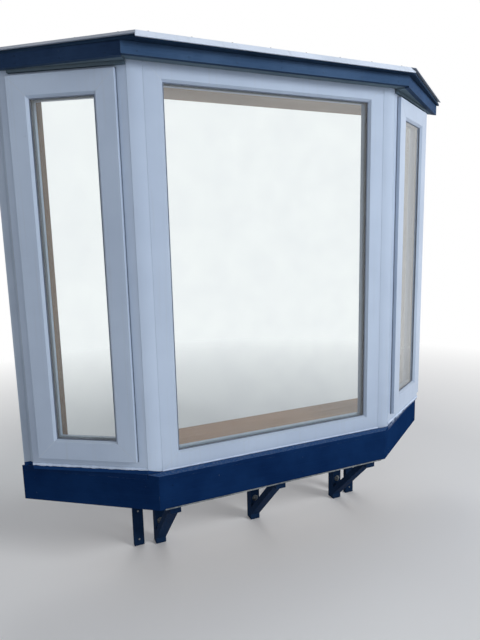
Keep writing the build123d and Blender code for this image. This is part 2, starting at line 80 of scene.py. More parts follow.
# Sizes of the strips, beads and fixings that are added here
GASKET_WIDTH = 0.0035
GASKET_HEIGHT = 0.0018
SEAL_WIDTH = 0.0024
SEAL_HEIGHT = 0.003
WELD_WIDTH = 0.0009
WELD_HEIGHT = 0.0002
BEAD_WIDTH = 0.007
BEAD_HEIGHT = 0.0035
RAGGED_WIDTH = 0.011
NAIL_RADIUS = 0.003
NAIL_HEIGHT = 0.0004
NAIL_END = 0.055
SCREW_RADIUS = 0.0042
SCREW_HEIGHT = 0.002
BOLT_RADIUS = 0.0085
BOLT_HEIGHT = 0.007
WASHER_RADIUS = 0.0145
WASHER_HEIGHT = 0.002

# Places that follow from them
FRONT_Y = -PROJECTION
CORNER_X = CENTRE_WIDTH / 2 + POST_WIDTH
SIDE_LENGTH = (PROJECTION - WALL_GAP - FRAME_DEPTH * math.cos(CANT)) / math.sin(CANT)
SIDE_HEIGHT = CENTRE_HEIGHT - SIDE_PACKER - HEAD_PACKER
SIDE_BOTTOM = BASE_TOP + SIDE_PACKER
SIDE_ALONG = Vector((math.cos(CANT), math.sin(CANT), 0))
SIDE_OUT = Vector((math.sin(CANT), -math.cos(CANT), 0))
UP = Vector((0, 0, 1))


# Colours
def shade(red, green, blue):
    """Colour from its display values, 0 to 255."""
    def linear(value):
        part = value / 255
        return part / 12.92 if part <= 0.04045 else ((part + 0.055) / 1.055) ** 2.4
    return (linear(red), linear(green), linear(blue), 1.0)


PLASTIC_WHITE = shade(180, 196, 218)
PLASTIC_GREY = shade(168, 184, 207)
JAMB_WHITE = shade(178, 192, 210)
JAMB_GREY = shade(160, 175, 194)
WELD_GREY = shade(178, 186, 198)
WELD_PALE = shade(198, 206, 218)
# Grime; where it darkens corners it is also painted shade
GRIME_AND_SHADE = shade(104, 106, 103)
DUST = shade(164, 168, 168)
NAVY = shade(11, 34, 72)
NAVY_FADED = shade(20, 49, 92)
TRIM_LIGHT_BLUE = shade(26, 60, 110)
# Lighter blue for the top faces of the base boards: painted light
LIT_LEDGE_BLUE = shade(34, 72, 122)
BRACKET_NAVY = shade(15, 33, 60)
BRACKET_FADED = shade(26, 48, 78)
# Deck navy: its paint, darkened for the shade under the roof edge too
DECK_NAVY_AND_SHADE = shade(28, 46, 68)
DECK_FADED = shade(40, 60, 84)
# Darker navy for the undersides of the fascias: painted shade
UNDERSIDE_SHADE_NAVY = shade(52, 70, 94)
FASCIA_BLUE = shade(50, 74, 106)
FASCIA_FADED = shade(70, 95, 128)
# Side fascias: the front blue darkened, painted shade, the left darker than the right
FASCIA_RIGHT_SHADED = shade(44, 66, 98)
FASCIA_RIGHT_SHADED_FADED = shade(62, 86, 120)
FASCIA_LEFT_SHADED = shade(26, 42, 68)
FASCIA_LEFT_SHADED_FADED = shade(42, 62, 92)
SOFFIT_GREY = shade(86, 104, 118)
SOFFIT_PALE = shade(108, 124, 134)
PRIMER = shade(118, 134, 156)
# Soot and painted shade for the corners of painted boards
PAINT_SOOT_AND_SHADE = shade(18, 22, 26)
EDGE_WHITE = shade(222, 235, 254)
EDGE_SHADE = shade(116, 130, 152)
EDGE_STAIN = shade(150, 158, 166)
PINE_PALE = shade(171, 136, 94)
PINE_DARK = shade(122, 88, 56)
PINE_GREY = shade(120, 104, 84)
LINING_PALE = shade(168, 120, 74)
LINING_DARK = shade(112, 72, 41)
PORE_BROWN = shade(62, 42, 27)
SILVERED = shade(128, 122, 112)
# Soot and painted shade for the corners of timber
TIMBER_SOOT_AND_SHADE = shade(46, 38, 31)
FELT_DARK = shade(48, 50, 53)
FELT_PALE = shade(84, 86, 88)
LICHEN = shade(128, 134, 112)
ZINC = shade(150, 156, 160)
ZINC_DARK = shade(110, 117, 123)
ZINC_STAIN = shade(171, 173, 170)
SPACER_GREY = shade(86, 92, 102)
SPACER_STAIN = shade(88, 84, 80)
SPACER_HOLE = shade(24, 22, 21)
RUBBER = shade(104, 115, 132)
RUBBER_CHALK = shade(132, 142, 158)
# Seal grey, dark also for the shadow gap round the sash: painted shade
SEAL_GREY_AND_GAP_SHADE = shade(90, 102, 122)
SEAL_CHALK = shade(116, 129, 150)
SEALANT_WHITE = shade(203, 219, 242)
SEALANT_DIRT = shade(152, 168, 190)
GLASS_CLEAR = shade(248, 251, 251)
GLASS_FILM = shade(244, 247, 248)
GLASS_SHADOW = shade(250, 252, 252)
FLOOR_PALE = shade(236, 237, 239)


# Node trees and materials
class NodeTree:
    """A tree of nodes, each made with what feeds it and with its settings."""

    def __init__(self, tree):
        self.tree = tree

    def node(self, kind, feeds=None, **settings):
        made = self.tree.nodes.new(kind)
        for name, value in settings.items():
            setattr(made, name, value)
        for socket, value in (feeds or {}).items():
            self.join(made.inputs[socket], value)
        return made

    def join(self, socket, value):
        """Link an output to a socket, or set the socket to a plain value."""
        if isinstance(value, bpy.types.NodeSocket):
            self.tree.links.new(value, socket)
        else:
            socket.default_value = value

    def worked_out(self, operation, first, second):
        made = self.node("ShaderNodeMath", {0: first, 1: second}, operation=operation)
        return made.outputs["Value"]

    def plus(self, first, second):
        return self.worked_out("ADD", first, second)

    def times(self, first, second):
        return self.worked_out("MULTIPLY", first, second)


class Finish(NodeTree):
    """A material with its Principled shader and the nodes that feed it."""

    def __init__(self, name):
        self.material = bpy.data.materials.new(name)
        self.material.use_nodes = True
        super().__init__(self.material.node_tree)
        self.shader = self.tree.nodes["Principled BSDF"]
        self.place = self.node("ShaderNodeTexCoord").outputs["Object"]
        self.facing = self.node("ShaderNodeNewGeometry").outputs["Normal"]

    def shader_in(self, name, value):
        self.join(self.shader.inputs[name], value)

    def surface(self, shader):
        self.join(self.tree.nodes["Material Output"].inputs["Surface"], shader)

    def along(self, length, across, turn=0.0, upright=False):
        """Object coordinates stretched along a board that lies at a turn in plan."""
        scale = (across, across, length) if upright else (length, across, across)
        feeds = {"Vector": self.place, "Rotation": (0, 0, turn), "Scale": scale}
        return self.node("ShaderNodeMapping", feeds, vector_type="TEXTURE").outputs["Vector"]

    def noise(self, vector, scale=1.0, detail=3.0, roughness=0.5, distortion=0.0):
        made = self.node("ShaderNodeTexNoise", {
            "Vector": vector, "Scale": scale, "Detail": detail, "Roughness": roughness,
            "Distortion": distortion,
        })
        return made.outputs["Fac"]

    def cells(self, vector, scale):
        feeds = {"Vector": vector, "Scale": scale}
        return self.node("ShaderNodeTexVoronoi", feeds, feature="F1").outputs["Distance"]

    def bands(self, vector, scale, distortion, detail):
        feeds = {"Vector": vector, "Scale": scale, "Distortion": distortion, "Detail": detail}
        made = self.node("ShaderNodeTexWave", feeds, wave_type="BANDS", bands_direction="Y")
        return made.outputs["Fac"]

    def span(self, value, low, high, start=0.0, end=1.0):
        """Value between two levels, spread between a start and an end."""
        made = self.node("ShaderNodeMapRange", {
            "Value": value, "From Min": low, "From Max": high, "To Min": start, "To Max": end,
        }, clamp=True)
        return made.outputs["Result"]

    def blend(self, share, first, second):
        """From the first colour to the second one by a share."""
        made = self.node("ShaderNodeMix", {0: share}, data_type="RGBA", blend_type="MIX")
        colours = [socket for socket in made.inputs if socket.type == "RGBA"]
        self.join(colours[0], first)
        self.join(colours[1], second)
        return next(socket for socket in made.outputs if socket.type == "RGBA")

    def part_of(self, vector, axis):
        return self.node("ShaderNodeSeparateXYZ", {"Vector": vector}).outputs[axis]

    def turned_up(self, low=0.4, high=0.9):
        """Share for a face turned to the sky: for the dust it holds, and for painted light on a
        board's top.
        """
        return self.span(self.part_of(self.facing, "Z"), low, high)

    def rounded(self, radius):
        return self.node("ShaderNodeBevel", {"Radius": radius}, samples=4).outputs["Normal"]

    def arrises(self, soft):
        """Share of wear: 1 on a sharp edge, 0 on a flat face."""
        feeds = {0: soft, 1: self.facing}
        made = self.node("ShaderNodeVectorMath", feeds, operation="DOT_PRODUCT")
        return self.span(made.outputs["Value"], 0.99, 0.86)

    def hollow_dirt_and_shade(self, distance):
        """Share of dirt and painted shade: 1 deep in a corner, 0 on an open face."""
        made = self.node("ShaderNodeAmbientOcclusion", {"Distance": distance}, samples=6)
        return self.span(made.outputs["AO"], 0.85, 0.25)

    def relief(self, height, depth, soft=None):
        made = self.node("ShaderNodeBump", {"Strength": 1.0, "Distance": depth, "Height": height})
        if soft is not None:
            self.join(made.inputs["Normal"], soft)
        self.shader_in("Normal", made.outputs["Normal"])


def white_plastic(name, white=PLASTIC_WHITE, grey=PLASTIC_GREY, grime_and_shade=1.0, soften=0.0012):
    """Satin white window profile: fine grain, rain marks, dust, and grime and painted shade in the
    corners.
    """
    f = Finish(name)
    soft = f.rounded(soften)
    cloud = f.noise(f.place, scale=2.6, detail=4)
    rain = f.noise(f.along(0.5, 0.013, upright=True), detail=5, roughness=0.6)
    speck = f.noise(f.place, scale=95, roughness=0.7)
    colour = f.blend(f.span(cloud, 0.35, 0.7), white, grey)
    colour = f.blend(f.span(rain, 0.55, 0.8, end=0.22 * grime_and_shade), colour, DUST)
    colour = f.blend(f.span(speck, 0.7, 0.8, end=0.3 * grime_and_shade), colour, GRIME_AND_SHADE)
    dusty = f.times(f.turned_up(), f.span(speck, 0.3, 0.6, start=0.02, end=0.2 * grime_and_shade))
    colour = f.blend(dusty, colour, DUST)
    # Corners darker by occlusion: grime and painted shade
    dirt_and_shade = f.times(f.hollow_dirt_and_shade(0.014), f.span(cloud, 0.3, 0.65, start=0.05, end=0.28 * grime_and_shade))
    colour = f.blend(dirt_and_shade, colour, GRIME_AND_SHADE)
    f.shader_in("Base Color", colour)
    f.shader_in("Roughness", f.span(f.plus(rain, dirt_and_shade), 0.3, 1.1, start=0.28, end=0.62))
    f.shader_in("IOR", 1.5)
    grain = f.noise(f.place, scale=700, detail=2)
    wave = f.noise(f.along(0.35, 0.06, upright=True), detail=1)
    f.relief(f.plus(f.times(grain, 0.05), wave), depth=0.0006, soft=soft)
    return f.material


def painted_board(
    name, colour, faded, turn=0.0, upright=False,
    wear=0.4, shine=0.01, top=None, below=None, smears=None,
):
    """Brushed paint on a sawn board: brush marks, faded patches, chipped edges, corner soot and
    painted shade.

    A board may have a lighter colour on top, painted light, and another colour below, painted shade
    on a fascia, and white smears on the faces that are turned right: none at the first of two
    heights, most at the second.
    """
    f = Finish(name)
    soft = f.rounded(0.0016)
    brush = f.noise(f.along(0.22, 0.0035, turn, upright), detail=4, roughness=0.6)
    grain = f.noise(f.along(0.6, 0.011, turn, upright), detail=5, roughness=0.65, distortion=0.4)
    patch = f.noise(f.place, scale=4.2, detail=4, roughness=0.6)
    fleck = f.noise(f.place, scale=130, roughness=0.6)
    paint = f.blend(f.span(patch, 0.35, 0.72), colour, faded)
    paint = f.blend(f.span(brush, 0.35, 0.75, end=0.35), paint, faded)
    # Top faces lighter: painted light
    if top is not None:
        paint = f.blend(f.turned_up(0.35, 0.8), paint, top)
    # Faces turned down in another colour: painted shade under a fascia, bare pine under the base
    # board
    if below is not None:
        paint = f.blend(f.turned_up(-0.35, -0.8), paint, below)
    if smears is not None:
        strength = f.span(f.part_of(f.place, "Z"), *smears, end=0.75)
        rightward = f.span(f.part_of(f.facing, "X"), 0.3, 0.5)
        wiped = f.span(f.noise(f.place, scale=55, detail=5, roughness=0.7), 0.42, 0.58)
        paint = f.blend(f.times(f.times(strength, rightward), wiped), paint, SEALANT_WHITE)
    dusty = f.times(f.turned_up(), f.span(fleck, 0.4, 0.65, start=0.02, end=0.16))
    paint = f.blend(dusty, paint, DUST)
    chips = f.span(f.noise(f.place, scale=24, detail=4, roughness=0.7), 0.5, 0.64, end=wear)
    paint = f.blend(f.times(f.arrises(soft), chips), paint, PRIMER)
    # Corners darker by occlusion: soot and painted shade
    paint = f.blend(f.times(f.hollow_dirt_and_shade(0.02), 0.3), paint, PAINT_SOOT_AND_SHADE)
    f.shader_in("Base Color", paint)
    f.shader_in("Roughness", f.span(patch, 0.3, 0.75, start=0.5, end=0.7))
    f.shader_in("Specular IOR Level", shine)
    f.relief(f.plus(f.times(brush, 0.5), grain), depth=0.0011, soft=soft)
    return f.material


def timber(name, pale, dark, upright=False, gloss=0.5, silvered=0.0):
    """Sawn or planed softwood with growth rings, pores, a little grime, and painted shade in the
    corners.
    """
    f = Finish(name)
    soft = f.rounded(0.0014)
    rings = f.bands(f.along(1.6, 0.11, upright=upright), scale=1.6, distortion=7.0, detail=3.0)
    figure = f.noise(f.along(0.7, 0.02, upright=upright), detail=6, roughness=0.6, distortion=0.5)
    pores = f.noise(f.along(0.05, 0.0011, upright=upright), roughness=0.6)
    patch = f.noise(f.place, scale=3.1)
    wood = f.blend(f.span(rings, 0.2, 0.95, start=0.1, end=0.75), pale, dark)
    wood = f.blend(f.span(figure, 0.35, 0.72, end=0.6), wood, dark)
    wood = f.blend(f.span(pores, 0.56, 0.72, end=0.45), wood, PORE_BROWN)
    wood = f.blend(f.span(patch, 0.4, 0.75, end=0.2 + silvered), wood, SILVERED)
    # Corners darker by occlusion: soot and painted shade
    wood = f.blend(f.times(f.hollow_dirt_and_shade(0.03), 0.55), wood, TIMBER_SOOT_AND_SHADE)
    f.shader_in("Base Color", wood)
    f.shader_in("Roughness", f.span(figure, 0.3, 0.7, start=gloss, end=gloss + 0.22))
    f.relief(f.plus(figure, f.times(pores, 0.45)), depth=0.0009, soft=soft)
    return f.material


def painted_edge(name, turn=0.0, white=EDGE_WHITE):
    """White roof edge: weathered paint on metal, water stains, a dirty lower lip and painted shade
    in the hollows.
    """
    f = Finish(name)
    soft = f.rounded(0.0016)
    run = f.noise(f.along(0.02, 0.3, turn), detail=4, roughness=0.6)
    patch = f.noise(f.place, scale=3.4, detail=4, roughness=0.6)
    speck = f.noise(f.place, scale=75, detail=4, roughness=0.65)
    colour = f.blend(f.span(patch, 0.4, 0.75, end=0.25), white, EDGE_STAIN)
    colour = f.blend(f.span(run, 0.55, 0.8, end=0.25), colour, EDGE_STAIN)
    colour = f.blend(f.span(speck, 0.63, 0.75, end=0.45), colour, GRIME_AND_SHADE)
    dusty = f.times(f.turned_up(0.75, 0.98), f.span(speck, 0.35, 0.65, start=0.25, end=0.7))
    colour = f.blend(dusty, colour, DUST)
    # Hollows darker by occlusion: grime and painted shade
    colour = f.blend(f.times(f.hollow_dirt_and_shade(0.02), 0.7), colour, GRIME_AND_SHADE)
    f.shader_in("Base Color", colour)
    f.shader_in("Roughness", f.span(patch, 0.3, 0.75, start=0.34, end=0.6))
    dents = f.noise(f.place, scale=14, detail=2)
    f.relief(f.plus(dents, f.times(speck, 0.12)), depth=0.0012, soft=soft)
    return f.material


def roofing_felt(name, dust=0.2):
    """Mineral felt: dark, with fine granules, dried puddles and a little lichen."""
    f = Finish(name)
    granules = f.cells(f.place, scale=520)
    puddle = f.noise(f.place, scale=7.5, detail=5, roughness=0.6)
    growth = f.noise(f.place, scale=42, detail=5, roughness=0.7)
    colour = f.blend(f.span(granules, 0.1, 0.75), FELT_PALE, FELT_DARK)
    colour = f.blend(f.span(puddle, 0.48, 0.6, end=dust), colour, DUST)
    colour = f.blend(f.span(growth, 0.64, 0.72, end=0.7), colour, LICHEN)
    f.shader_in("Base Color", colour)
    f.shader_in("Roughness", f.span(puddle, 0.35, 0.65, start=0.95, end=0.72))
    f.relief(f.plus(granules, f.times(puddle, 3.0)), depth=0.0012)
    return f.material


def zinc_sheet(name):
    """Galvanised sheet: a faint spangle, dull patches and water marks."""
    f = Finish(name)
    soft = f.rounded(0.0008)
    spangle = f.cells(f.place, scale=85)
    patch = f.noise(f.place, scale=7, detail=4, roughness=0.6)
    scratch = f.noise(f.along(0.12, 0.0016), roughness=0.6)
    colour = f.blend(f.span(spangle, 0.1, 0.8), ZINC, ZINC_DARK)
    colour = f.blend(f.span(patch, 0.45, 0.7, end=0.5), colour, ZINC_STAIN)
    f.shader_in("Base Color", colour)
    f.shader_in("Metallic", f.span(patch, 0.4, 0.72, start=0.85, end=0.35))
    f.shader_in("Roughness", f.span(f.plus(patch, scratch), 0.7, 1.3, start=0.36, end=0.68))
    f.relief(f.plus(f.times(scratch, 0.2), patch), depth=0.0005, soft=soft)
    return f.material


def spacer_bar(name):
    """Grey warm-edge spacer with a row of fine perforations and stains."""
    f = Finish(name)
    holes = f.cells(f.place, scale=340)
    stain = f.noise(f.place, scale=18)
    colour = f.blend(f.span(holes, 0.12, 0.2), SPACER_HOLE, SPACER_GREY)
    colour = f.blend(f.span(stain, 0.4, 0.7, end=0.4), colour, SPACER_STAIN)
    f.shader_in("Base Color", colour)
    f.shader_in("Roughness", f.span(stain, 0.3, 0.7, start=0.42, end=0.6))
    f.relief(holes, depth=0.0003)
    return f.material


def rubber(name, fresh, chalky):
    """Grey rubber, chalky where it has weathered."""
    f = Finish(name)
    chalk = f.noise(f.place, scale=30, detail=4, roughness=0.6)
    colour = f.blend(f.span(chalk, 0.4, 0.75, end=0.7), fresh, chalky)
    f.shader_in("Base Color", colour)
    f.shader_in("Roughness", f.span(chalk, 0.3, 0.7, start=0.55, end=0.8))
    f.relief(f.noise(f.place, scale=400, detail=2), depth=0.0002)
    return f.material


def sealant(name, dirt=0.35):
    """Tooled sealant, off-white and dirty where it meets the paint."""
    f = Finish(name)
    patch = f.noise(f.place, scale=16, detail=5, roughness=0.65)
    ripple = f.noise(f.place, scale=160)
    colour = f.blend(f.span(patch, 0.4, 0.7, end=dirt), SEALANT_WHITE, SEALANT_DIRT)
    colour = f.blend(f.span(ripple, 0.62, 0.75, end=0.4), colour, GRIME_AND_SHADE)
    f.shader_in("Base Color", colour)
    f.shader_in("Roughness", f.span(patch, 0.3, 0.7, start=0.4, end=0.62))
    f.relief(ripple, depth=0.0006)
    return f.material


def weld(name):
    """Cleaned weld at a mitred corner, a little greyer than the profile."""
    f = Finish(name)
    mark = f.noise(f.place, scale=140, roughness=0.6)
    f.shader_in("Base Color", f.blend(f.span(mark, 0.35, 0.7), WELD_GREY, WELD_PALE))
    f.shader_in("Roughness", f.span(mark, 0.3, 0.7, start=0.4, end=0.6))
    f.relief(mark, depth=0.0002)
    return f.material


def clear_glass(name):
    """Float glass with a faint green-grey tint and a film of rain marks."""
    f = Finish(name)
    film = f.noise(f.place, scale=7, detail=5, roughness=0.6)
    marks = f.noise(f.along(0.4, 0.02, upright=True), detail=4, roughness=0.6)
    f.shader_in("Base Color", f.blend(f.span(film, 0.3, 0.8), GLASS_CLEAR, GLASS_FILM))
    f.shader_in("Roughness", f.span(f.times(film, marks), 0.3, 0.6, end=0.02))
    f.shader_in("IOR", 1.5)
    f.shader_in("Transmission Weight", 1.0)
    passing = f.node("ShaderNodeBsdfTransparent", {"Color": GLASS_SHADOW})
    rays = f.node("ShaderNodeLightPath")
    mix = f.node("ShaderNodeMixShader", {
        0: rays.outputs["Is Shadow Ray"], 1: f.shader.outputs["BSDF"], 2: passing.outputs["BSDF"],
    })
    f.surface(mix.outputs["Shader"])
    return f.material


# Finishes, one for each way that a board lies
def navy_board(name, turn=0.0, wear=0.3):
    return painted_board(name, NAVY, NAVY_FADED, turn, wear=wear, shine=0.0, top=LIT_LEDGE_BLUE)


# Fascia with a darker underside: painted shade
def fascia_board(name, blue, faded, turn=0.0):
    return painted_board(name, blue, faded, turn, below=UNDERSIDE_SHADE_NAVY)


SMEARED = (BASE_TOP - 0.022, BASE_TOP + 0.008)
PROFILE = white_plastic("white_profile_satin")
PROFILE_POST = white_plastic("white_post_rounded", soften=0.004)
PROFILE_DULL = white_plastic("white_jamb_dull", JAMB_WHITE, JAMB_GREY, grime_and_shade=1.3)
GLASS = clear_glass("clear_glass_pane")
SPACER = spacer_bar("grey_spacer_bar")
GLAZING_RUBBER = rubber("glazing_rubber", RUBBER, RUBBER_CHALK)
SEAL_RUBBER = rubber("sash_seal_rubber", SEAL_GREY_AND_GAP_SHADE, SEAL_CHALK)
SEALANT = sealant("white_sealant")
SEALANT_OLD = sealant("old_sealant", dirt=0.55)
WELD = weld("corner_weld")
ZINC_PLAIN = zinc_sheet("galvanised_sheet")
ZINC_SCREW = zinc_sheet("zinc_screw")
FELT = roofing_felt("mineral_felt")
FELT_STRIP = roofing_felt("felt_lap", dust=0.45)
APRONS = {
    "front": navy_board("navy_apron_front"),
    "right": navy_board("navy_apron_right", BASE_CANT),
    "left": navy_board("navy_apron_left", -BASE_CANT),
}
TRIMS = {
    "front": navy_board("navy_trim_front", wear=0.5),
    "right": painted_board(
        "smeared_trim_right", NAVY, NAVY_FADED, CANT, wear=0.5, top=LIT_LEDGE_BLUE, smears=SMEARED,
    ),
    # The left trim is a lighter navy than the others
    "left": painted_board(
        "faded_trim_left", NAVY_FADED, TRIM_LIGHT_BLUE, -CANT, wear=0.5, top=LIT_LEDGE_BLUE,
    ),
}
BASE_BOARD = painted_board(
    "navy_base_board", NAVY, NAVY_FADED, wear=0.5, top=LIT_LEDGE_BLUE, below=PINE_GREY, smears=SMEARED,
)
# The side fascias are darker copies of the front one: painted shade
FASCIAS = {
    "front": fascia_board("blue_fascia_front", FASCIA_BLUE, FASCIA_FADED),
    "right": fascia_board("blue_fascia_right", FASCIA_RIGHT_SHADED, FASCIA_RIGHT_SHADED_FADED, EAVES_CANT),
    "left": fascia_board("blue_fascia_left", FASCIA_LEFT_SHADED, FASCIA_LEFT_SHADED_FADED, -EAVES_CANT),
}
# The side returns are the white edge in a darker grey: painted shade
EDGES = {
    "front": painted_edge("white_edge_front"),
    "right": painted_edge("grey_edge_right", EDGE_CANT, EDGE_SHADE),
    "left": painted_edge("grey_edge_left", -EDGE_CANT, EDGE_SHADE),
}
SOFFIT = painted_board("grey_soffit", SOFFIT_GREY, SOFFIT_PALE, wear=0.3)
HEAD_STRIP = painted_board("grey_head_strip", SOFFIT_GREY, SOFFIT_PALE, CANT, wear=0.3)
# Deck in navy paint, dark enough to hold the shade under the roof edge: paint colour and painted
# shade
DECK = painted_board("navy_deck", DECK_NAVY_AND_SHADE, DECK_FADED, wear=0.3)
BRACKET_PAINT = painted_board("navy_bracket", BRACKET_NAVY, BRACKET_FADED, upright=True, wear=0.6)
LINING = timber("varnished_lining", LINING_PALE, LINING_DARK, gloss=0.3)
LINING_UPRIGHT = timber("varnished_reveal", LINING_PALE, LINING_DARK, upright=True, gloss=0.3)
PINE = timber("sawn_pine", PINE_PALE, PINE_DARK, gloss=0.62, silvered=0.35)
SHEATHING = timber("ply_sheet", PINE_PALE, PINE_DARK, gloss=0.6, silvered=0.5)

NODE_FINISH = {
    PROFILE: (
        "centre_frame", "left_frame", "right_frame", "left_sash", "right_sash", "centre_bead",
        "left_bead", "right_bead", "post_trims", "sash_handles",
    ),
    PROFILE_POST: ("left_post", "right_post"),
    PROFILE_DULL: ("left_wall_jamb", "right_wall_jamb"),
    GLASS: ("centre_glass", "left_glass", "right_glass"),
    SPACER: ("glass_spacers",),
    LINING: ("seat_board", "head_lining"),
    LINING_UPRIGHT: ("reveal_boards",),
    PINE: ("seat_packers", "wall_ledger", "base_frame", "head_board"),
    SHEATHING: ("base_soffit",),
    BRACKET_PAINT: ("brackets", "wall_battens"),
    APRONS["front"]: ("front_apron",),
    APRONS["right"]: ("right_apron",),
    APRONS["left"]: ("left_apron",),
    TRIMS["front"]: ("front_ledge",),
    TRIMS["right"]: ("right_packers",),
    TRIMS["left"]: ("left_packers",),
    BASE_BOARD: ("base_board",),
    FASCIAS["front"]: ("front_fascia",),
    FASCIAS["right"]: ("right_fascia",),
    FASCIAS["left"]: ("left_fascia",),
    EDGES["front"]: ("front_roof_edge",),
    EDGES["right"]: ("right_roof_edge",),
    EDGES["left"]: ("left_roof_edge",),
    SOFFIT: ("eaves_soffit",),
    HEAD_STRIP: ("head_strips",),
    DECK: ("roof_deck",),
    FELT: ("roof_sheet",),
    ZINC_PLAIN: ("wall_flashing", "apron_drip"),
}
for finish, names in NODE_FINISH.items():
    for node_name in names:
        nodes[node_name].data.materials.clear()
        nodes[node_name].data.materials.append(finish)


# Trees that lay strips along paths and set fixings at points
class GeometryTree(NodeTree):
    """A Geometry Nodes tree with named inputs."""

    def __init__(self, name):
        super().__init__(bpy.data.node_groups.new(name, "GeometryNodeTree"))
        self.given = self.node("NodeGroupInput")
        self.result = self.node("NodeGroupOutput")
        self.tree.interface.new_socket("Geometry", in_out="OUTPUT", socket_type="NodeSocketGeometry")
        self.wanted("Geometry", "Geometry")

    def wanted(self, kind, *names):
        for name in names:
            self.tree.interface.new_socket(name, in_out="INPUT", socket_type=f"NodeSocket{kind}")

    def triple(self, x, y, z):
        return self.node("ShaderNodeCombineXYZ", {"X": x, "Y": y, "Z": z}).outputs["Vector"]

    def finish(self, geometry):
        """Real geometry with the given material on it, as the tree's result."""
        real = self.node("GeometryNodeRealizeInstances", {"Geometry": geometry})
        coat = self.node("GeometryNodeSetMaterial", {
            "Geometry": real.outputs["Geometry"], "Material": self.given.outputs["Material"],
        })
        self.join(self.result.inputs["Geometry"], coat.outputs["Geometry"])
        return self.tree


ARC_POINTS = 9


def strip_tree(name, rounded):
    """Strip along a path of edges: square, or half-round with an uneven hand-laid width.

    A path's outline hangs below it, so heights are taken as negative to stand out of the face.
    """
    t = GeometryTree(name)
    t.wanted("Float", "Width", "Height", "Corner Stretch", "Unevenness", "Ripple")
    t.wanted("Int", "Cuts", "Seed")
    t.wanted("Material", "Material")
    given = t.given.outputs
    path = t.node("GeometryNodeMeshToCurve", {"Mesh": given["Geometry"]})
    level = t.node("GeometryNodeSetCurveNormal", {"Curve": path.outputs["Curve"]}, mode="Z_UP")
    fine = t.node("GeometryNodeSubdivideCurve", {
        "Curve": level.outputs["Curve"], "Cuts": given["Cuts"],
    })
    width = t.times(given["Width"], given["Corner Stretch"])
    if rounded:
        outline = t.node("GeometryNodeCurveArc", {
            "Resolution": ARC_POINTS, "Radius": 0.5, "Start Angle": 0.0, "Sweep Angle": math.pi,
            "Connect Center": True,
        })
        rise = t.times(given["Height"], -2.0)
        lift = 0.0
    else:
        outline = t.node("GeometryNodeCurvePrimitiveQuadrilateral", {"Width": 1.0, "Height": 1.0})
        rise = given["Height"]
        lift = t.times(given["Height"], -0.5)
    sized = t.node("GeometryNodeTransform", {
        "Geometry": outline.outputs["Curve"], "Scale": t.triple(width, rise, 1.0),
        "Translation": t.triple(0.0, lift, 0.0),
    })
    feeds = {"Scale": given["Ripple"], "Detail": 3.0, "W": given["Seed"]}
    ripple = t.node("ShaderNodeTexNoise", feeds, noise_dimensions="4D")
    swing = t.times(t.plus(ripple.outputs["Fac"], -0.5), given["Unevenness"])
    swept = t.node("GeometryNodeCurveToMesh", {
        "Curve": fine.outputs["Curve"], "Profile Curve": sized.outputs["Geometry"],
        "Scale": t.plus(swing, 1.0), "Fill Caps": True,
    })
    return t.finish(swept.outputs["Mesh"])


WASHER_SIDES = 24


def fixing_tree(name):
    """A head on a washer at every point, each turned its own way."""
    t = GeometryTree(name)
    t.wanted("Float", "Head Radius", "Head Height", "Washer Radius", "Washer Height")
    t.wanted("Int", "Sides", "Seed")
    t.wanted("Material", "Material")
    given = t.given.outputs

    def disc(sides, radius, height, base):
        made = t.node("GeometryNodeMeshCylinder", {
            "Vertices": sides, "Radius": radius, "Depth": height,
        })
        middle = t.plus(base, t.times(height, 0.5))
        lifted = t.node("GeometryNodeTransform", {
            "Geometry": made.outputs["Mesh"], "Translation": t.triple(0.0, 0.0, middle),
        })
        return lifted.outputs["Geometry"]

    whole = t.node("GeometryNodeJoinGeometry")
    washer = disc(WASHER_SIDES, given["Washer Radius"], given["Washer Height"], 0.0)
    head = disc(given["Sides"], given["Head Radius"], given["Head Height"], given["Washer Height"])
    t.join(whole.inputs["Geometry"], washer)
    t.join(whole.inputs["Geometry"], head)
    spin = t.node("FunctionNodeRandomValue", {"Seed": given["Seed"]}, data_type="FLOAT")
    ends = [s for s in spin.inputs if s.name in ("Min", "Max") and s.type == "VALUE"]
    t.join(ends[0], 0.0)
    t.join(ends[1], 2 * math.pi)
    turned = next(s for s in spin.outputs if s.type == "VALUE")
    set_out = t.node("GeometryNodeInstanceOnPoints", {
        "Points": given["Geometry"], "Instance": whole.outputs["Geometry"],
        "Rotation": t.triple(0.0, 0.0, turned),
    })
    return t.finish(set_out.outputs["Instances"])


SQUARE_STRIP = strip_tree("square_strip", False)
ROUND_BEAD = strip_tree("round_bead", True)
FIXINGS = fixing_tree("fixings")
SQUARE_CORNER = math.sqrt(2)


def grown(tree, base, values):
    """Mesh that a tree grows on a base mesh, its inputs given by name."""
    carrier = bpy.data.objects.new("setting_out", base)
    scene.collection.objects.link(carrier)
    modifier = carrier.modifiers.new("tree", "NODES")
    modifier.node_group = tree
    for item in tree.interface.items_tree:
        if item.item_type == "SOCKET" and item.in_out == "INPUT" and item.name in values:
            modifier[item.identifier] = values[item.name]
    depsgraph = bpy.context.evaluated_depsgraph_get()
    mesh = bpy.data.meshes.new_from_object(carrier.evaluated_get(depsgraph))
    bpy.data.objects.remove(carrier)
    return mesh


def path_mesh(paths, closed):
    """Edges through the points of each path."""
    mesh = bpy.data.meshes.new("path")
    points = []
    edges = []
    for path in paths:
        first = len(points)
        points += path
        edges += [(first + i, first + i + 1) for i in range(len(path) - 1)]
        if closed:
            edges.append((first + len(path) - 1, first))
    mesh.from_pydata(points, edges, [])
    return mesh


def close_up(mesh):
    """Merge what meets, and turn the faces outwards."""
    work = bmesh.new()
    work.from_mesh(mesh)
    bmesh.ops.remove_doubles(work, verts=work.verts, dist=1e-6)
    bmesh.ops.recalc_face_normals(work, faces=work.faces)
    work.to_mesh(mesh)
    work.free()


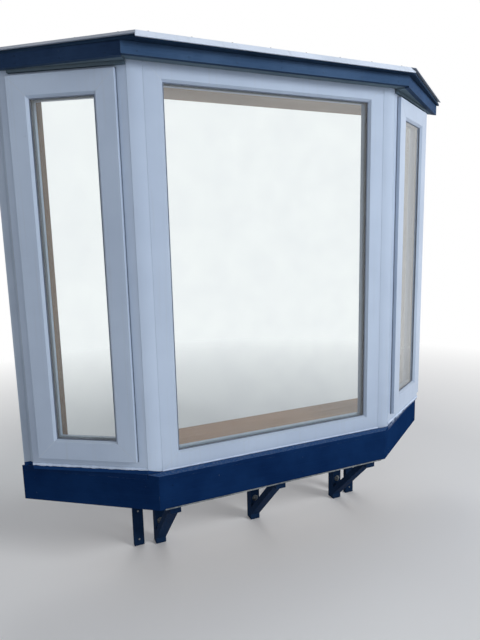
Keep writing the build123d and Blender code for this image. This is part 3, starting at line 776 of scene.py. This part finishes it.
def fit(name, mesh, place=None, mirrored=False):
    """Finished piece: in place in its mesh, riding on the window."""
    mesh = mesh.copy()
    if place is not None:
        mesh.transform(place)
    if mirrored:
        mesh.transform(Matrix.Diagonal((-1, 1, 1, 1)))
    close_up(mesh)
    mesh.name = name
    piece = bpy.data.objects.new(name, mesh)
    scene.collection.objects.link(piece)
    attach(piece, "root")


def fit_pair(name, mesh, place):
    fit(f"right_{name}", mesh, place)
    fit(f"left_{name}", mesh, place, mirrored=True)


def on_face(origin, along, out):
    """Local frame on a face: x along it, y up or across, z outwards."""
    across = Vector(out).cross(Vector(along))
    columns = Matrix((Vector(along), across, Vector(out))).transposed().to_4x4()
    return Matrix.Translation(Vector(origin)) @ columns


def even_steps(start, end, count):
    return [start + (end - start) * i / (count - 1) for i in range(count)]


CENTRE_LIGHT = on_face((-CENTRE_WIDTH / 2, FRONT_Y, BASE_TOP), (1, 0, 0), (0, -1, 0))
SIDE_LIGHT = on_face((CORNER_X, FRONT_Y, SIDE_BOTTOM), SIDE_ALONG, SIDE_OUT)
CENTRE_SIZE = (CENTRE_WIDTH, CENTRE_HEIGHT)
SIDE_SIZE = (SIDE_LENGTH, SIDE_HEIGHT)


# Glazing rubbers, sash seals and corner welds
def square_strip(base, width, height, stretch, material):
    return grown(SQUARE_STRIP, base, {
        "Width": width, "Height": height, "Corner Stretch": stretch, "Unevenness": 0.0,
        "Ripple": 1.0, "Cuts": 0, "Seed": 0, "Material": material,
    })


def ring_strip(size, inset, level, width, height, material):
    """Strip round a light, its middle inset from the frame's outer edge."""
    right = size[0] - inset
    top = size[1] - inset
    ring = [(inset, inset, level), (right, inset, level), (right, top, level), (inset, top, level)]
    return square_strip(path_mesh([ring], True), width, height, SQUARE_CORNER, material)


def weld_strips(size, start, face, level):
    """Welds from a frame's outer corners over its face and down the glazing bevel."""
    width, height = size
    inner = start + face
    lines = []
    for from_right in (False, True):
        for from_top in (False, True):
            line = []
            for inset, depth in ((start, 0), (inner, 0), (inner + BEVEL_WIDTH, BEVEL_DEPTH)):
                x = width - inset if from_right else inset
                y = height - inset if from_top else inset
                line.append((x, y, level - depth))
            lines.append(line)
    return square_strip(path_mesh(lines, False), WELD_WIDTH, WELD_HEIGHT, 1.0, WELD)


def gasket(size, sight, level):
    """Glazing rubber on the glass, just inside a light's sight line."""
    inset = sight + GASKET_WIDTH / 2 + JOINT
    return ring_strip(size, inset, level, GASKET_WIDTH, GASKET_HEIGHT, GLAZING_RUBBER)


centre_sight = CENTRE_FACE + BEVEL_WIDTH
side_sight = SASH_MARGIN + SASH_FACE + BEVEL_WIDTH
# Rubber seal round each sash, its grey dark enough to stand for the shadow gap as well: painted
# shade
seal_inset = SASH_MARGIN - SEAL_WIDTH / 2 - JOINT
sash_seal = ring_strip(SIDE_SIZE, seal_inset, 0, SEAL_WIDTH, SEAL_HEIGHT, SEAL_RUBBER)
centre_welds = weld_strips(CENTRE_SIZE, 0, CENTRE_FACE, 0)
sash_welds = weld_strips(SIDE_SIZE, SASH_MARGIN, SASH_FACE, SASH_PROUD)
fit("centre_gasket", gasket(CENTRE_SIZE, centre_sight, -LIP_DEPTH), CENTRE_LIGHT)
fit_pair("gasket", gasket(SIDE_SIZE, side_sight, SASH_PROUD - LIP_DEPTH), SIDE_LIGHT)
fit_pair("sash_seal", sash_seal, SIDE_LIGHT)
fit("centre_welds", centre_welds, CENTRE_LIGHT)
fit_pair("sash_welds", sash_welds, SIDE_LIGHT)

# Sealant where the frames meet the base: neat in front, ragged at the sides
NEAT = {"Width": BEAD_WIDTH, "Unevenness": 0.5, "Ripple": 30}
RAGGED_RIGHT = {"Width": RAGGED_WIDTH, "Unevenness": 2.6, "Ripple": 34}
RAGGED_LEFT = {"Width": RAGGED_WIDTH, "Unevenness": 2.0, "Ripple": 38}
RIGHT_BEAD_RISE = -RAGGED_WIDTH / 4
LEFT_BEAD_RISE = RAGGED_WIDTH / 3


def laid_bead(start, end, rise, manner, cuts, seed, material):
    """Bead at one height over a face, between two places along it."""
    line = path_mesh([[(start, rise, 0), (end, rise, 0)]], False)
    return grown(ROUND_BEAD, line, {
        **manner, "Height": BEAD_HEIGHT, "Corner Stretch": 1.0, "Cuts": cuts, "Seed": seed,
        "Material": material,
    })


sill_bead = laid_bead(
    0, CENTRE_WIDTH, BEAD_WIDTH / 2, NEAT, cuts=160, seed=3, material=SEALANT
)
right_bead = laid_bead(
    0, SIDE_LENGTH, RIGHT_BEAD_RISE, RAGGED_RIGHT, cuts=150, seed=5, material=SEALANT
)
left_bead = laid_bead(
    0, SIDE_LENGTH, LEFT_BEAD_RISE, RAGGED_LEFT, cuts=150, seed=8, material=SEALANT_OLD
)
fit("sill_bead", sill_bead, CENTRE_LIGHT)
fit("right_packer_bead", right_bead, SIDE_LIGHT)
fit("left_packer_bead", left_bead, SIDE_LIGHT, mirrored=True)

# Blue filler that laps the foot of the left post, high at the side light and low at the front
FILLER_HIGH = 0.0175
FILLER_LOW = 0.002
FILLER_PROUD = 0.0008


def post_filler():
    """The foot of the left post cut off along a slope and pushed out of the post's face."""
    work = bmesh.new()
    work.from_mesh(nodes["left_post"].data)
    bmesh.ops.bisect_plane(
        work, geom=work.verts[:] + work.edges[:] + work.faces[:],
        plane_co=(-CORNER_X, FRONT_Y, BASE_TOP + FILLER_HIGH),
        plane_no=(FILLER_HIGH - FILLER_LOW, 0, POST_WIDTH), clear_outer=True,
    )
    bmesh.ops.holes_fill(work, edges=[edge for edge in work.edges if edge.is_boundary])
    out = Vector((-math.sin(CANT / 2), -math.cos(CANT / 2), 0))
    bmesh.ops.translate(work, verts=work.verts, vec=out * FILLER_PROUD)
    mesh = bpy.data.meshes.new("post_filler")
    work.to_mesh(mesh)
    work.free()
    mesh.materials.append(TRIMS["left"])
    return mesh


fit("left_post_filler", post_filler())

# Packers that carry the wall jambs on the base board
JAMB_JOINT = 0.0002
for side in ("right", "left"):
    jamb = nodes[f"{side}_wall_jamb"].data.copy()
    jamb_middle = BASE_TOP + CENTRE_HEIGHT / 2
    for corner in jamb.vertices:
        upper = corner.co.z > jamb_middle
        corner.co.z = SIDE_BOTTOM - JAMB_JOINT if upper else BASE_TOP + JAMB_JOINT
    jamb.materials.clear()
    jamb.materials.append(TRIMS[side])
    fit(f"{side}_jamb_packer", jamb)


# Nails, screws and bolts
def fixings(points, head, washer, sides, seed, material):
    """Heads on washers at points of a face, each of the two given by radius and height."""
    base = bpy.data.meshes.new("points")
    base.from_pydata([(x, y, 0) for x, y in points], [], [])
    return grown(FIXINGS, base, {
        "Head Radius": head[0], "Head Height": head[1], "Washer Radius": washer[0],
        "Washer Height": washer[1], "Sides": sides, "Seed": seed, "Material": material,
    })


NAIL_CROWN_SHARE = 0.6
SCREW_CROWN_SHARE = 0.75
NAIL_SIDES = 12
SCREW_SIDES = 14
BOLT_SIDES = 6


def nailed(name, board, rows, count, seed, finish, mirrored=False):
    """Nail heads in rows up a board, painted over with it."""
    face, length = board
    points = [(x, y) for x in even_steps(NAIL_END, length - NAIL_END, count) for y in rows]
    crown = (NAIL_RADIUS * NAIL_CROWN_SHARE, NAIL_HEIGHT)
    rim = (NAIL_RADIUS, NAIL_HEIGHT)
    heads = fixings(points, crown, rim, NAIL_SIDES, seed, finish)
    fit(name, heads, face, mirrored)


def screwed(name, points, face, seed, radius=SCREW_RADIUS):
    """Bare screw heads at points of a face."""
    crown = (radius * SCREW_CROWN_SHARE, SCREW_HEIGHT)
    rim = (radius, SCREW_HEIGHT / 3)
    fit(name, fixings(points, crown, rim, SCREW_SIDES, seed, ZINC_SCREW), face)


def front_board(node):
    """Face of a board across the front, from its lower left corner, and its length."""
    low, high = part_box(node)
    return on_face((low.x, low.y, low.z), (1, 0, 0), (0, -1, 0)), high.x - low.x


def slanting_board(front, side, angle):
    """Face of the right-hand board that turns off the end of a front board, and its length."""
    low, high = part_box(front)
    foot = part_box(side)[0].z
    along = (math.cos(angle), math.sin(angle), 0)
    out = (math.sin(angle), -math.cos(angle), 0)
    return on_face((high.x, low.y, foot), along, out), -low.y / math.sin(angle)


APRON_ROWS = (0.03, 0.095)
FASCIA_ROWS = (0.012, 0.034)
FRONT_APRON_NAILS = 6
FRONT_FASCIA_NAILS = 7
SIDE_NAILS = 4
nailed(
    "apron_nails", front_board("front_apron"), APRON_ROWS, FRONT_APRON_NAILS,
    seed=1, finish=APRONS["front"],
)
nailed(
    "fascia_nails", front_board("front_fascia"), FASCIA_ROWS, FRONT_FASCIA_NAILS,
    seed=2, finish=FASCIAS["front"],
)
side_apron = slanting_board("front_apron", "right_apron", BASE_CANT)
side_fascia = slanting_board("front_fascia", "right_fascia", EAVES_CANT)
for side, mirrored in (("right", False), ("left", True)):
    nailed(
        f"{side}_apron_nails", side_apron, APRON_ROWS, SIDE_NAILS,
        seed=3, finish=APRONS[side], mirrored=mirrored,
    )
    nailed(
        f"{side}_fascia_nails", side_fascia, FASCIA_ROWS, SIDE_NAILS,
        seed=4, finish=FASCIAS[side], mirrored=mirrored,
    )

# Screws up through the sheet into joists and rim, measured along and out from the wall
JOIST_LINES = (-0.36, -0.24, -0.12, 0.12, 0.24, 0.36)
JOIST_ROWS = (0.022, 0.16, 0.302)
RIM_START = Vector((0.51, 0.29))
RIM_END = Vector((0.89, 0.03))
RIM_SCREWS = 5
low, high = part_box("base_soffit")
base_under = on_face((0, 0, low.z), (1, 0, 0), (0, 0, -1))
under_points = [(x, y) for x in JOIST_LINES for y in JOIST_ROWS]
for share in even_steps(0, 1, RIM_SCREWS):
    point = RIM_START.lerp(RIM_END, share)
    under_points += [(point.x, point.y), (-point.x, point.y)]
screwed("base_screws", under_points, base_under, seed=5)

# Bolts through the bracket legs, screws in the battens beside them
LEG_BOLT_HEIGHTS = (0.11, 0.245)
BATTEN_FIRST = 0.03
BATTEN_LAST = 0.3
BATTEN_SCREWS = 3
low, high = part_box("brackets")
bracket_x = high.x - BRACKET_TIMBER / 2
leg_face = on_face((0, -BRACKET_TIMBER, low.z), (1, 0, 0), (0, -1, 0))
leg_points = [(x, z) for x in (-bracket_x, 0, bracket_x) for z in LEG_BOLT_HEIGHTS]
bolt_head = (BOLT_RADIUS, BOLT_HEIGHT)
bolt_washer = (WASHER_RADIUS, WASHER_HEIGHT)
bolts = fixings(leg_points, bolt_head, bolt_washer, BOLT_SIDES, seed=6, material=ZINC_SCREW)
fit("bracket_bolts", bolts, leg_face)

low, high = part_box("wall_battens")
batten_x = high.x - BRACKET_TIMBER / 2
batten_face = on_face((0, low.y, low.z), (1, 0, 0), (0, -1, 0))
batten_heights = even_steps(BATTEN_FIRST, BATTEN_LAST, BATTEN_SCREWS)
batten_points = [(x, z) for x in (-batten_x, batten_x) for z in batten_heights]
screwed("batten_screws", batten_points, batten_face, seed=7)

# Small screws under the metal angle
DRIP_SCREWS = 7
low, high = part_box("apron_drip")
drip_middle = ((low.x + high.x) / 2, (low.y + high.y) / 2, low.z)
drip_under = on_face(drip_middle, (1, 0, 0), (0, 0, -1))
drip_points = [(x, 0) for x in even_steps(low.x + NAIL_END, high.x - NAIL_END, DRIP_SCREWS)]
screwed(
    "drip_screws", drip_points, drip_under, seed=8, radius=NAIL_RADIUS
)


# Roof: laps in the felt on the hips and on the front slope
def corner_of(node, along, outward, upward):
    """The corner of a solid that lies furthest, by a weight for each direction."""
    solid = nodes[node]
    corners = (solid.matrix_world @ v.co for v in solid.data.vertices)
    return max(corners, key=lambda p: along * p.x + upward * p.z - outward * p.y)


LAP_WIDTH = 0.05
LAP_HEIGHT = 0.004
LAP_SUNK = Vector((0, 0, -0.0015))
LAP_TUCK = 0.004
MIDDLE_LAP = 0.56
TOP_FIRST = 30
eaves_right = corner_of("roof_sheet", 1, 3, 1)
eaves_left = corner_of("roof_sheet", -1, 3, 1)
ridge_right = corner_of("roof_sheet", 1, 0, TOP_FIRST)
ridge_left = corner_of("roof_sheet", -1, 0, TOP_FIRST)
flashing_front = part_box("wall_flashing")[0].y
felt_end = 1 - (LAP_TUCK - flashing_front) / -eaves_right.y


def felt_lap(start, end):
    """Line up a slope that stops under the metal strip along the wall."""
    return [tuple(start + LAP_SUNK), tuple(start.lerp(end, felt_end) + LAP_SUNK)]


middle_eaves = eaves_left.lerp(eaves_right, MIDDLE_LAP)
middle_ridge = ridge_left.lerp(ridge_right, MIDDLE_LAP)
laps = [
    felt_lap(eaves_left, ridge_left),
    felt_lap(middle_eaves, middle_ridge),
    felt_lap(eaves_right, ridge_right),
]
fit("felt_laps", grown(SQUARE_STRIP, path_mesh(laps, False), {
    "Width": LAP_WIDTH, "Height": LAP_HEIGHT, "Corner Stretch": 1.0, "Unevenness": 0.12,
    "Ripple": 9.0, "Cuts": 60, "Seed": 2, "Material": FELT_STRIP,
}))

# Screws in the flat top of the roof edge
EDGE_FLAT = 0.012
EDGE_SCREWS = 8
EDGE_SCREW_END = 0.04
SIDE_EDGE_SCREWS = 4
SIDE_EDGE_SCREW_END = 0.06
edge_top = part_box("front_roof_edge")[1].z
front_run = eaves_right - eaves_left
edge_face = on_face((eaves_left.x, eaves_left.y, edge_top), front_run.normalized(), (0, 0, 1))
front_steps = even_steps(EDGE_SCREW_END, front_run.length - EDGE_SCREW_END, EDGE_SCREWS)
edge_points = [(x, -EDGE_FLAT / 2) for x in front_steps]
screwed("edge_screws", edge_points, edge_face, seed=9)
side_run = -eaves_right.y / math.sin(EDGE_CANT)
side_steps = even_steps(SIDE_EDGE_SCREW_END, side_run - SIDE_EDGE_SCREW_END, SIDE_EDGE_SCREWS)
for side, corner, way in (("right", eaves_right, 1), ("left", eaves_left, -1)):
    along = (way * math.cos(EDGE_CANT), math.sin(EDGE_CANT), 0)
    face = on_face((corner.x, corner.y, edge_top), along, (0, 0, 1))
    points = [(x, -way * EDGE_FLAT / 2) for x in side_steps]
    screwed(f"{side}_edge_screws", points, face, seed=10)

# Screws and a bead in the metal strip along the wall
FLASHING_SCREWS = 6
FLASHING_SCREW_END = 0.05
FLASHING_SCREW_DROP = 0.015
FLASHING_BEAD_DROP = 0.0045
low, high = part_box("wall_flashing")
flashing_right = corner_of("wall_flashing", 1, 1, TOP_FIRST)
flashing_left = corner_of("wall_flashing", -1, 1, TOP_FIRST)
flashing_face = on_face((0, flashing_left.y, high.z), (1, 0, 0), (0, -1, 0))
flashing_steps = even_steps(
    flashing_left.x + FLASHING_SCREW_END, flashing_right.x - FLASHING_SCREW_END, FLASHING_SCREWS
)
flashing_points = [(x, -FLASHING_SCREW_DROP) for x in flashing_steps]
screwed("flashing_screws", flashing_points, flashing_face, seed=11)
flashing_bead = laid_bead(
    flashing_left.x, flashing_right.x, -FLASHING_BEAD_DROP, NEAT,
    cuts=120, seed=6, material=SEALANT_OLD,
)
fit("flashing_bead", flashing_bead, flashing_face)

# Camera where the photograph was taken
EYE = (-0.9669, -2.1838, 0.9707)
YAW = math.radians(23.06)
PITCH = math.radians(9.12)
ROLL = math.radians(-1.375)
FOCAL_PIXELS = 518
PICTURE_HEIGHT = 640
SENSOR = 36.0

level_right = Vector((math.cos(YAW), -math.sin(YAW), 0))
level_forward = Vector((math.sin(YAW), math.cos(YAW), 0))
forward = level_forward * math.cos(PITCH) - UP * math.sin(PITCH)
above = UP * math.cos(PITCH) + level_forward * math.sin(PITCH)
rightward = level_right * math.cos(ROLL) + above * math.sin(ROLL)
upward = above * math.cos(ROLL) - level_right * math.sin(ROLL)
lens = bpy.data.cameras.new("photo_camera")
lens.sensor_width = SENSOR
lens.lens = FOCAL_PIXELS / PICTURE_HEIGHT * SENSOR
camera = bpy.data.objects.new("photo_camera", lens)
camera.matrix_world = (
    Matrix.Translation(EYE) @ Matrix((rightward, upward, -forward)).transposed().to_4x4()
)
scene.collection.objects.link(camera)
scene.camera = camera

# Floor, fading into the white behind it
FLOOR_DROP = 0.001
FLOOR_HALF = 14.0
FADE_START = 1.7
FADE_END = 4.5


def white_where_seen(t, plain, share):
    """Mix a shader with plain white for the camera, gloss and glass rays, by a share."""
    rays = t.node("ShaderNodeLightPath").outputs
    seen = t.worked_out("MAXIMUM", rays["Is Camera Ray"], rays["Is Glossy Ray"])
    seen = t.worked_out("MAXIMUM", seen, rays["Is Transmission Ray"])
    white = t.node("ShaderNodeEmission", {"Color": (1, 1, 1, 1)}).outputs["Emission"]
    mix = t.node("ShaderNodeMixShader", {0: t.times(seen, share), 1: plain, 2: white})
    return mix.outputs["Shader"]


def pale_floor():
    f = Finish("pale_floor")
    f.shader_in("Base Color", FLOOR_PALE)
    f.shader_in("Roughness", f.span(f.noise(f.place, scale=3), 0.3, 0.7, start=0.85, end=0.95))
    length = f.node("ShaderNodeVectorMath", {0: f.place}, operation="LENGTH").outputs["Value"]
    share = f.span(length, FADE_START, FADE_END)
    f.surface(white_where_seen(f, f.shader.outputs["BSDF"], share))
    return f.material


floor_level = cad_box[0].z - FLOOR_DROP
floor_corners = ((-1, -1), (1, -1), (1, 1), (-1, 1))
floor_points = [(x * FLOOR_HALF, y * FLOOR_HALF, floor_level) for x, y in floor_corners]
floor_mesh = bpy.data.meshes.new("floor")
floor_mesh.from_pydata(floor_points, [], [(0, 1, 2, 3)])
floor_mesh.materials.append(pale_floor())
floor = bpy.data.objects.new("floor", floor_mesh)
scene.collection.objects.link(floor)

# Soft even light
AMBIENT = 0.35
AMBIENT_COLOUR = (0.95, 0.97, 1.0, 1)
BAY_MIDDLE = Vector((0, -0.2, 0.75))
world = bpy.data.worlds.new("studio")
scene.world = world
world.use_nodes = True
around = NodeTree(world.node_tree)
room = around.tree.nodes["Background"]
room.inputs["Color"].default_value = AMBIENT_COLOUR
room.inputs["Strength"].default_value = AMBIENT
shown = white_where_seen(around, room.outputs["Background"], 1.0)
around.join(around.tree.nodes["World Output"].inputs["Surface"], shown)


def soft_lamp(name, place, size, power):
    """Disc lamp aimed at the bay, seen by nothing but the surfaces that it lights."""
    data = bpy.data.lights.new(name, "AREA")
    data.shape = "DISK"
    data.size = size
    data.energy = power
    lamp = bpy.data.objects.new(name, data)
    lamp.visible_camera = False
    lamp.visible_transmission = False
    lamp.visible_glossy = False
    lamp.location = place
    lamp.rotation_euler = (BAY_MIDDLE - Vector(place)).to_track_quat("-Z", "Y").to_euler()
    scene.collection.objects.link(lamp)


soft_lamp("front_lamp", (3.8, -5.4, 3.4), size=2.4, power=270)
soft_lamp("low_lamp", (-0.9, -4.8, 2.0), size=1.6, power=14)
soft_lamp("back_lamp", (0.6, 3.6, 4.2), size=3.0, power=40)

scene.view_settings.view_transform = "Standard"
